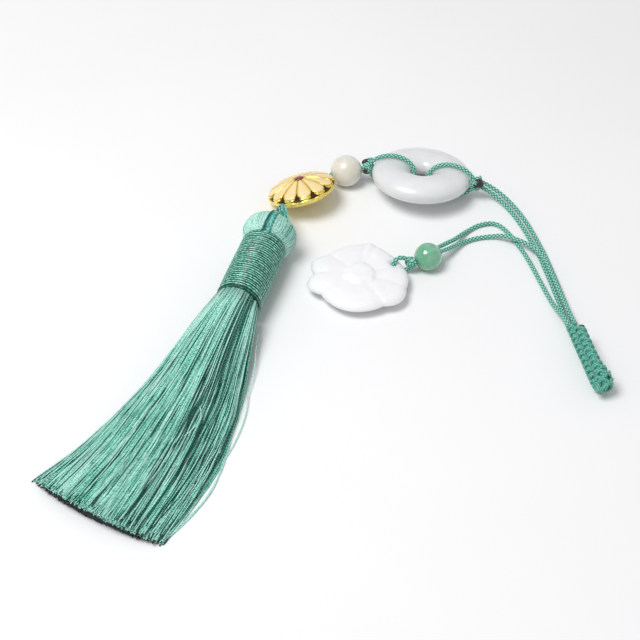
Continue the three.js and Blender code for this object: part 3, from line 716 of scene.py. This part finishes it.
# The binding: a sleeve whose radius rises and falls as |sin(pi * (along / pitch + loose + turn))|, so
# the ridge is one thread wound round and round, here closer and there looser. The ridge is also its
# tint, for painted shade in the grooves, and painted shade darkens its two ends.
def bindingSleeve():
    rows = int(neck["wrapLength"] / neck["threadPitch"] * 6)
    along = np.linspace(0.1, neck["wrapLength"] - 0.1, rows)
    turn = np.arange(neck["sides"]) / neck["sides"]
    loose = 0.08 * np.sin(1.9 * along) + 0.05 * np.sin(3.7 * along + 1)
    ridge = np.abs(np.sin(np.pi * ((along / neck["threadPitch"] + loose)[:, None] + turn)))
    drawnIn, over = neck["rim"]
    edge = smoothStep(np.minimum(along, neck["wrapLength"] - along), 0, over)[:, None]
    belly = neck["belly"] * np.sin(np.pi * along / neck["wrapLength"])[:, None]
    middle = neck["wrapRadius"] - 0.42 + drawnIn * edge + belly
    radius = middle + neck["threadRise"] * (ridge - 0.4)
    grid = turned(neck["foot"], neckAxis, along, radius, neck["sides"])
    # Painted shade darkens the binding towards its two ends.
    light = neck["paintedEndShade"] + (1 - neck["paintedEndShade"]) * edge
    return form(grid, tint=0.0, shade=ridge * light)


addPiece("binding_winding", [bindingSleeve()], bindingThread, ["neck_binding"])

loop = {
    "route": [
        (-15.1, 37.4, 8.1), (-14.7, 40.6, 8.4), (-14.2, 43.1, 7.9), (-13.7, 45.1, 7.1),
        (-13.3, 46.5, 6.5),
    ],
    "leftLeg": [
        (-13.8, 44.6, 7.4), (-13.6, 42.2, 8.6), (-14.3, 38.6, 9.6), (-14.9, 35.0, 10.0),
        (-16.7, 30.2, 10.0), (-18.4, 26.8, 10.0),
    ],
    "rightLeg": [(-13.3, 45.0, 7.0), (-12.6, 42.2, 8.2), (-12.3, 39.6, 8.8), (-11.9, 36.6, 9.0)],
    "strandRadius": 0.3,
}


# Strands wound round a route: strand k keeps to a circle about it at angle 2 pi k / count, turning
# as it goes.
def woundStrands(route, count, spread, turns):
    line = smoothPath(route, 0.25)
    sideways, upward = waysFrom(line)
    share = np.linspace(0, 1, len(line))
    angle = evenAngles(count)[:, None] + turns * 2 * np.pi * share
    place = line[None] + spread * np.cos(angle)[..., None] * sideways
    place = place + spread * np.sin(angle)[..., None] * upward
    return form(tube(place, loop["strandRadius"], sides=6), tint=np.linspace(0.1, 0.9, count))


# A leg of the loop lying on the head: strands side by side, opening out toward the end and raised
# to the dome's own height where they would sink into it.
def loopLeg(route, count, first, last, lift):
    line = smoothPath(route, 0.4)
    sideways = waysFrom(line)[0]
    width = np.linspace(first, last, len(line))[:, None]
    lines = line + np.linspace(-1, 1, count)[:, None, None] * width * sideways
    profile = np.array(head["profile"])
    fromFoot = lines - np.array(neck["foot"])
    along = fromFoot @ neckAxis
    radius = np.interp(along, profile[:, 0], profile[:, 1], right=0)
    dome = np.sqrt(np.maximum(radius**2 - (fromFoot @ neckSide) ** 2, 0))
    lines[..., 2] = np.maximum(lines[..., 2], neck["foot"][2] + along * neckAxis[2] + dome + lift)
    tint = np.random.default_rng(count).random(count)
    return form(tube(lines, loop["strandRadius"], sides=6), tint=tint)


loopForms = [
    woundStrands(loop["route"], 9, spread=0.78, turns=0.6),
    woundStrands(loop["route"], 5, spread=0.4, turns=-0.5),
    loopLeg(loop["leftLeg"], 6, first=0.5, last=1.25, lift=0.1),
    loopLeg(loop["leftLeg"], 5, first=0.3, last=0.9, lift=0.42),
    loopLeg(loop["rightLeg"], 4, first=0.5, last=0.8, lift=0.1),
]
addPiece("loop_strands", loopForms, loopThread, ["tassel_loop"])
print("head, binding and loop made")

flower = {
    "centre": (-7.5, 56.1, 5.0),
    "radius": 10.7,
    "petals": 12,
    "notchDepth": 1.9,
    "leanBack": 19.0,  # in degrees, as the next two
    "leanLeft": 15.0,
    "firstNotch": -122.0,
    "creaseDepth": 0.35,
    "tip": (0.74, 0.945),  # shares of the radius where a petal starts to round off, and where it ends
    "wire": 0.19,
    "wireGap": 0.2,  # how far a petal's edge keeps from its neighbour's
    # Rows of radius share, height, how deep the notches and how deep the creases are there.
    "profile": [
        (0.0, 3.8, 0, 0), (0.12, 3.75, 0, 0.2), (0.3, 3.6, 0, 1), (0.55, 3.0, 0, 1),
        (0.8, 2.0, 0.2, 1), (0.93, 1.2, 1, 0.6), (0.965, 0.75, 1, 0.2), (0.965, 0.3, 0.95, 0),
        (0.99, 0.05, 0.3, 0), (1.0, -0.2, 0.22, 0), (0.985, -0.6, 0.2, 0), (0.9, -1.4, 0, 0),
        (0.8, -2.1, 0, 0), (0.5, -3.3, 0, 0), (0.2, -3.9, 0, 0), (0.02, -4.0, 0, 0),
    ],
}


# Leans the flower back and to the left, and puts it in its place.
def flowerPlace(points):
    leaned = points @ turnMatrix(0, -flower["leanBack"]).T @ turnMatrix(1, -flower["leanLeft"]).T
    return leaned + np.array(flower["centre"])


# The height of the flower's face at a share of its radius.
def flowerHeight(share):
    rows = np.array(flower["profile"])[:7]
    return np.interp(share, rows[:, 0], rows[:, 1])


# The gold body: a profile turned about the middle, drawn in at each notch between two petals.
def flowerBody():
    columns = flower["petals"] * 18
    rows = evenPoints(np.array(flower["profile"]) * (flower["radius"], 1, 1, 1), 80)
    angle = evenAngles(columns)
    toNotch = np.abs((angle / (2 * np.pi / flower["petals"]) + 0.5) % 1 - 0.5) * 30.0
    between = np.clip(1 - toNotch / 7.5, 0, 1) ** 1.2
    radius = np.maximum(rows[:, :1] - flower["notchDepth"] * rows[:, 2:3] * between, 0.05)
    height = rows[:, 1:2] - flower["creaseDepth"] * rows[:, 3:4] * np.clip(1 - toNotch / 3.0, 0, 1)
    turn = angle + math.radians(flower["firstNotch"])
    grid = np.stack([radius * np.cos(turn), radius * np.sin(turn), height], -1)
    return form(flowerPlace(grid)[None], tint=0.5)


# A petal's outline: half its width is radius * share * sin(pi / petals), and rounds off at the tip.
def petalHalfWidth(share):
    first, last = flower["tip"]
    tip = np.clip((share - first) / (last - first), 0, 1)
    base = flower["radius"] * share * math.sin(math.pi / flower["petals"]) - flower["wireGap"]
    return np.maximum(base * np.sqrt(np.clip(1 - tip**2, 0, 1)), 0.02)


# The middle of each petal, or of each notch with after = 0: its heading out and to the side.
def petalAxes(after):
    turn = evenAngles(flower["petals"], after) + math.radians(flower["firstNotch"])
    heading = np.stack([np.cos(turn), np.sin(turn), 0 * turn], -1)[:, None]
    across = np.stack([-np.sin(turn), np.cos(turn), 0 * turn], -1)[:, None]
    return heading, across


# Enamel as a flattened tube along each petal's middle, and a gold wire round its edge.
def flowerPetals():
    share = np.r_[np.linspace(0.17, 0.8, 12), np.linspace(0.83, 0.94, 7)]
    heading, across = petalAxes(0.5)
    line = heading * (flower["radius"] * share)[:, None]
    line[..., 2] += flowerHeight(share) + 0.02
    enamel = tube(line, petalHalfWidth(share) * 0.96, 0.3, sides=12)
    ring = np.r_[share, share[::-1][1:]]
    side = np.r_[np.ones(len(share)), -np.ones(len(share) - 1)]
    half = petalHalfWidth(ring) * side
    out = flower["radius"] * ring
    reach = np.hypot(out, half) / flower["radius"]
    wire = heading * out[:, None] + across * half[:, None]
    wire[..., 2] += flowerHeight(reach) + 0.1
    rim = tube(wire, flower["wire"], sides=6)
    tints = np.linspace(0.2, 0.8, flower["petals"])
    return form(flowerPlace(enamel), tint=tints), form(flowerPlace(rim), tint=tints)


# Painted shade between two petal tips: a dark flat wedge on the floor of the notch that widens outward.
def flowerGaps():
    share = np.linspace(0.77, 0.965, 9)
    heading, _ = petalAxes(0)
    line = heading * (flower["radius"] * share)[:, None]
    line[..., 2] += np.interp(share, (0.77, 0.81, 0.85, 0.965), (1.9, 1.4, 1.05, 0.4))
    width = 0.5 + 1.5 * (share - share[0]) / (share[-1] - share[0])
    return form(flowerPlace(tube(line, width, 0.16, sides=8)))


# The dot in the middle: half an oval turned about the flower's own upright.
def flowerDot():
    turn = np.linspace(0, np.pi, 10)
    grid = turned((0, 0, 3.95), (0, 0, 1), -0.42 * np.cos(turn), 1.5 * np.sin(turn) + 0.01, 24)
    return form(flowerPlace(grid), tint=0.5)


enamel, wires = flowerPetals()
addPiece("flower_gold", [flowerBody(), wires], polishedGold, ["flower_bead"])
addPiece("flower_enamel", [enamel], creamEnamel)
addPiece("flower_gaps", [flowerGaps()], paintedNotchShade)
addPiece("flower_dot", [flowerDot()], plumEnamel)
print("flower bead made")

# Bore is the hole's radius, and axis the way the cord runs through.
pearlBead = {"centre": (6.2, 65.4, 4.8), "radius": 4.9, "bore": 0.85, "axis": (9.15, 2.5, 0.1)}
greenBead = {"centre": (29.9, 27.1, 4.05), "radius": 4.15, "bore": 0.85, "axis": (5.5, 3.0, 0.75)}


# A bored ball: the outer profile is the circle from hole to hole, and the inner one the bore.
def boredBall(facts):
    reach = math.acos(facts["bore"] / facts["radius"])
    turn = np.linspace(-reach, reach, 56)
    outer = np.stack([facts["radius"] * np.sin(turn), facts["radius"] * np.cos(turn)], 1)
    along = np.linspace(outer[-1, 0] - 0.15, outer[0, 0] + 0.15, 6)
    inner = np.stack([along, np.full(6, facts["bore"] - 0.05)], 1)
    rows = np.vstack([outer, inner])
    grid = turned(facts["centre"], facts["axis"], rows[:, 0], rows[:, 1], 72)
    return form(grid, True, 0.5)


addPiece("pearl_ball", [boredBall(pearlBead)], pearlNacre, ["pearl"])
addPiece("green_ball", [boredBall(greenBead)], greenStone, ["green_bead"])

pearlCord = [(1.15, 63.3, 4.8), (6.2, 65.4, 4.8), (10.9, 66.4, 4.9), (12.4, 66.45, 5.3)]
pearlCordForm = braidedTube(smoothPath(pearlCord, cordLook["spacing"]))
addPiece("pearl_cord_braid", [pearlCordForm], braidedCord, ["pearl_cord"])

ring = {
    "centre": (29.3, 62.3, 5.55),
    "outerRadius": 15.3,
    "holeRadius": 3.3,
    "thickness": 7.2,
    "heading": -13.9,  # in degrees, as the tilt
    "tilt": 12.0,
    "loopReach": (7.04, 4.64),  # half the length and half the height of a cord loop
    "loopOpen": 11,  # degrees that a loop leaves open, on each side of its knot
}
ringMiddle = (ring["outerRadius"] + ring["holeRadius"]) / 2


# From the ring's own frame, along the knots, across and out of its face, into the scene.
def onRing(points):
    tilted = np.asarray(points, float) @ turnMatrix(0, -ring["tilt"]).T
    return tilted @ turnMatrix(2, ring["heading"]).T + np.array(ring["centre"])


# The ring: an oval section carried round the hole.
def jadeRingBody():
    half = (ring["outerRadius"] - ring["holeRadius"]) / 2
    angle = evenAngles(128)
    line = np.stack([ringMiddle * np.cos(angle), ringMiddle * np.sin(angle), 0 * angle], 1)
    grid = tube(line, half, ring["thickness"] / 2, sides=40, closed=True)
    return form(onRing(grid), True, 0.5)


# A cord loop on side -1 or 1, left or right: an oval round the stone's section, over the face, down
# through the hole and back underneath, with a drift sideways.
def ringLoop(side):
    turn = np.radians(np.linspace(ring["loopOpen"], 360 - ring["loopOpen"], 160))
    along = side * (ringMiddle + ring["loopReach"][0] * np.cos(turn))
    out = ring["loopReach"][1] * np.sin(turn)
    drift = 1.6 * np.sin(turn) * np.abs(np.sin(turn / 2))
    across = onRing((0, 1, 0)) - onRing((0, 0, 0))
    return braidedTube(onRing(np.stack([along, drift, out], 1)), upright=across)


addPiece("jade_ring_stone", [jadeRingBody()], ringJade, ["jade_ring"])
addPiece("ring_loop_left_braid", [ringLoop(-1)], braidedCord, ["ring_loop_left"])
addPiece("ring_loop_right_braid", [ringLoop(1)], braidedCord, ["ring_loop_right"])


# A turned place: local (x, y, z) turned about the upright by heading degrees, then moved.
def placed(points, centre, heading):
    return np.asarray(points, float) @ turnMatrix(2, heading).T + np.array(centre, float)


# A coil of cord: x and z follow an oval while y climbs from one end to the other.
def coil(half, turns, centre, heading, radius=0.56, tip=0.0):
    share = np.linspace(0, 1, int(turns * 36))
    spin = turns * 2 * np.pi * share
    x = (half[0] - radius) * np.cos(spin)
    z = (half[2] - radius) * np.sin(spin)
    y = (half[1] - radius) * (2 * share - 1) + tip * np.sin(spin)
    across = placed((0, 1, 0), (0, 0, 0), heading)
    return braidedTube(placed(np.stack([x, y, z], 1), centre, heading), upright=across, radius=radius)


# A melted end: a short tube that swells into a rounded drop.
def meltedStub(centre, heading, start, end, radius):
    share = np.linspace(0, 1, 14)[:, None]
    line = placed(np.array(start) * (1 - share) + np.array(end) * share, centre, heading)
    swell = radius * np.sqrt(np.clip(1 - np.clip((share[:, 0] - 0.55) / 0.45, 0, 1) ** 2.5, 0.002, 1))
    return form(tube(line, swell, sides=16, upright=(0.1, 0.2, 0.97)), tint=0.5)


# A knot has two coils: one with turns, and a second with turns, a further heading and a tip. Half is
# its half size, a stub a melted end's two ends and radius, and tails are short cords.
knots = {
    "knot_left": {
        "centre": onRing((-17.0, 0, 0)), "heading": ring["heading"], "half": (1.55, 2.6, 2.0),
        "turns": 3.3, "second": (1.2, 0.0, 0.5),
        "stubs": [
            ((-0.4, 0.4, 0.5), (-1.5, 1.1, 1.8), 1.15), ((0.0, -0.9, -0.2), (0.0, -2.5, -0.3), 1.0),
        ],
        "tails": [],
    },
    "knot_right": {
        "centre": onRing((17.2, 0, 0)), "heading": ring["heading"], "half": (1.7, 2.1, 2.0),
        "turns": 2.8, "second": (1.2, 0.0, 0.5),
        "stubs": [((0.2, -0.5, 0.5), (1.9, -0.9, 1.6), 1.5)],
        "tails": [
            [(45.4, 58.3, 5.4), (46.8, 58.0, 5.1), (48.0, 57.68, 4.44)],
            [(45.4, 58.2, 5.7), (46.8, 58.3, 6.2), (48.1, 58.28, 6.05)],
        ],
    },
    "bead_knot": {
        "centre": (24.9, 25.1, 3.2), "heading": 20.0, "half": (1.5, 1.75, 1.9),
        "turns": 2.6, "second": (1.3, 70.0, 0.0),
        "stubs": [],
        "tails": [
            [
                (25.4, 25.2, 3.3), (27.6, 26.1, 3.6), (29.9, 27.3, 4.1), (31.9, 28.8, 4.6),
                (33.1, 30.55, 4.74),
            ],
            [
                (25.4, 25.2, 3.3), (27.6, 26.1, 3.6), (29.9, 27.1, 4.0), (32.2, 28.2, 4.35),
                (34.1, 29.25, 4.33),
            ],
        ],
    },
}

for name, facts in knots.items():
    half, centre, heading = facts["half"], facts["centre"], facts["heading"]
    turns, further, tip = facts["second"]
    wraps = [coil(half, facts["turns"], centre, heading)]
    wraps += [coil(half, turns, centre, heading + further, tip=tip)]
    wraps += [braidedTube(smoothPath(route, cordLook["spacing"])) for route in facts["tails"]]
    addPiece(name + "_wraps", wraps, braidedCord, [name])
    if facts["stubs"]:
        stubs = [meltedStub(centre, heading, *stub) for stub in facts["stubs"]]
        addPiece(name + "_melted_ends", stubs, meltedEnd)
print("jade ring and knots made")

plaqueLoop = [
    (24.7, 25.3, 3.9), (23.7, 25.4, 4.6), (22.6, 25.2, 5.3), (21.2, 24.7, 5.7), (20.1, 24.1, 5.3),
    (19.6, 23.8, 3.6), (20.1, 23.7, 1.9), (21.3, 23.9, 1.1), (22.7, 24.2, 1.0), (23.8, 24.6, 1.4),
    (24.7, 24.9, 2.2),
]
loopPiece = braidedTube(smoothPath(plaqueLoop, 0.2), upright=(-0.35, 0.94, 0))
addPiece("plaque_loop_braid", [loopPiece], braidedCord, ["plaque_loop"])

braid = {
    "route": [
        (69.85, 0.2, 1.95), (71.2, -6.6, 1.95), (72.6, -13.0, 1.95), (74.0, -19.0, 1.95),
        (75.5, -22.8, 2.1), (76.2, -25.0, 3.9), (75.9, -22.8, 5.8), (74.6, -19.0, 5.95),
        (73.2, -13.6, 5.95), (72.0, -8.0, 5.95), (71.4, -5.1, 5.95),
    ],
    "pitch": 1.05,
    "slant": 34.0,
    "bandRadius": 0.5,
    "coreRadius": 1.05,
    "ringReach": (1.18, 1.2),
    "endSwell": 0.7,
}


# Bands round the loop: band n is an oval ring about the route, slanted left and right by turns, so
# that neighbours cross like the wraps of a row of tight knots.
def braidBands():
    line = smoothPath(braid["route"], 0.1)
    length = stepLengths(line).sum()
    count = int(length / braid["pitch"])
    across = unit(np.cross(line[40] - line[0], (0, 0, 1.0)))
    heading = unit(np.gradient(line, axis=0))
    picks = np.linspace(4, len(line) - 5, count).round().astype(int)
    centre, ahead = line[picks], heading[picks]
    upward = unit(np.cross(across, ahead))
    spin = evenAngles(28)
    slant = np.where(np.arange(count) % 2 == 0, 1, -1) * math.tan(math.radians(braid["slant"]))
    fromTurn = np.linalg.norm(centre - np.array(braid["route"][5]), axis=1)
    swell = 1 + braid["endSwell"] * np.exp(-((fromTurn / 4.5) ** 2))[:, None, None]
    side = swell * braid["ringReach"][0] * np.cos(spin)[:, None]
    rings = centre[:, None] + side * across
    rings = rings + braid["ringReach"][1] * np.sin(spin)[:, None] * upward[:, None]
    rings = rings + side * slant[:, None, None] * ahead[:, None]
    bands = tube(rings, braid["bandRadius"], sides=10, upright=(0.3, 0.2, 1.0), closed=True)
    core = tube(line[::4], braid["coreRadius"], sides=16, upright=across)
    return [form(bands, True, np.linspace(0, 1, count)), form(core, tint=0.1)]


addPiece("hanging_loop_bands", braidBands(), bandThread, ["braided_loop"])
upperEnd = meltedStub((71.4, -5.1, 5.95), 0, (0, 0, 0), (-0.3, 0.9, 0.1), radius=1.5)
addPiece("hanging_loop_melted_end", [upperEnd], meltedEnd)
print("hanging loop made")

plaque = {
    "centre": (9.5, 19.0),
    # Rows of x, y and how far the outline swells out before the next one.
    "lobes": [
        (13.2, 3.9, 0.9), (5.2, 13.2, 0.9), (2.0, 14.2, 1.3), (-9.4, 9.2, 2.9), (-13.2, 1.2, 3.2),
        (-11.2, -6.9, 4.6), (6.6, -11.8, 2.6), (13.5, -4.7, 1.1),
    ],
    "pointsPerLobe": 28,
    "reach": 14.0,  # about how far the outline is from the middle
    # Rows of outline share, height and how deep the carving is there.
    "profile": [
        (0.02, 0.0, 0.0), (0.45, 0.0, 0.0), (0.72, 0.9, 0.0), (0.9, 2.0, 0.0), (1.0, 3.0, 0.0),
        (0.99, 3.6, 0.1), (0.94, 4.3, 0.5), (0.86, 4.8, 1.0), (0.66, 5.2, 1.0), (0.45, 5.1, 0.8),
        (0.34, 5.0, 0.4), (0.27, 5.6, 0.0), (0.16, 5.9, 0.0), (0.02, 5.8, 0.0),
    ],
    "creaseDepth": 0.24,
    "veinDepth": 0.03,
    "hole": (19.6, 23.8),
    "holeDip": (1.8, 0.95),  # depth and radius of the dip round the cord's hole
}


# The plaque: the outline's chords swell outward as swell * sin(pi * u) ** 0.75, and the section is
# the outline shrunk by each row's share. Creases run in from the notches, and fine veins beside them.
def plaqueBody():
    lobes = np.array(plaque["lobes"])
    u = (np.arange(plaque["pointsPerLobe"]) / plaque["pointsPerLobe"])[None, :]
    chord = np.roll(lobes, -1, axis=0)[:, :2] - lobes[:, :2]
    outward = unit(np.stack([chord[:, 1], -chord[:, 0]], 1))
    swell = lobes[:, 2:3] * np.sin(np.pi * u) ** 0.75
    outline = lobes[:, None, :2] + chord[:, None] * u[..., None]
    outline = (outline + outward[:, None] * swell[..., None]).reshape(-1, 2)
    place = np.tile(u[0], len(lobes))
    toNotch = np.minimum(place, 1 - place) * np.repeat(np.linalg.norm(chord, axis=1), u.shape[1])
    rows = evenPoints(np.array(plaque["profile"]) * (plaque["reach"], 1, 1), 90)
    share, height, carved = rows[:, :1] / plaque["reach"], rows[:, 1:2], rows[:, 2:3]
    crease = np.exp(-((toNotch * share / 0.85) ** 2))
    veins = 0.5 + 0.5 * np.cos(place * 2 * np.pi * 5)
    lift = height - plaque["creaseDepth"] * carved * crease - plaque["veinDepth"] * carved * veins
    grid = np.stack([outline[:, 0] * share, outline[:, 1] * share, lift], -1)
    grid[..., :2] += plaque["centre"]
    apart = np.hypot(grid[..., 0] - plaque["hole"][0], grid[..., 1] - plaque["hole"][1])
    depth, width = plaque["holeDip"]
    grid[..., 2] -= np.where(grid[..., 2] > 3.2, depth * np.exp(-((apart / width) ** 2)), 0)
    return form(grid[None, ::-1], tint=0.5)


addPiece("jade_plaque_carved", [plaqueBody()], plaqueJade, ["jade_plaque"])
print("jade plaque made")

studio = {
    "floor": [(0.3, (243, 243, 244)), (0.7, (246, 246, 247))],
    "world": 0.46,
    "key": {"place": (-0.26, -0.09, 0.69), "size": 0.4, "power": 3.9},
    "fill": {"place": (0.5, -0.5, 0.6), "size": 0.5, "power": 0.14},
}

bpy.ops.mesh.primitive_plane_add(size=6, location=(0, 0, -0.00005))
floor = bpy.context.object
floor.name = "floor"
floorPaper = cloudedFinish("floorPaper", (244, 244, 245), 0.6, (12.0,), studio["floor"])
floor.data.materials.append(floorPaper)

world = bpy.data.worlds.new("studioSky")
bpy.context.scene.world = world
world.use_nodes = True
sky = world.node_tree.nodes["Background"]
sky.inputs["Color"].default_value = (1.0, 1.0, 1.0, 1)
sky.inputs["Strength"].default_value = studio["world"]


# A round area light that looks at the middle of the floor.
def softLight(name, place, size, power):
    light = bpy.data.lights.new(name, "AREA")
    light.shape = "DISK"
    light.size = size
    light.energy = power
    lamp = bpy.data.objects.new(name, light)
    bpy.context.scene.collection.objects.link(lamp)
    lamp.location = place
    x, y, z = place
    lamp.rotation_euler = (math.atan2(math.hypot(x, y), z), 0, math.atan2(-y, -x) - math.pi / 2)


softLight("keyLight", **studio["key"])
softLight("fillLight", **studio["fill"])
bpy.context.scene.view_settings.view_transform = "Standard"
print("floor and light set")
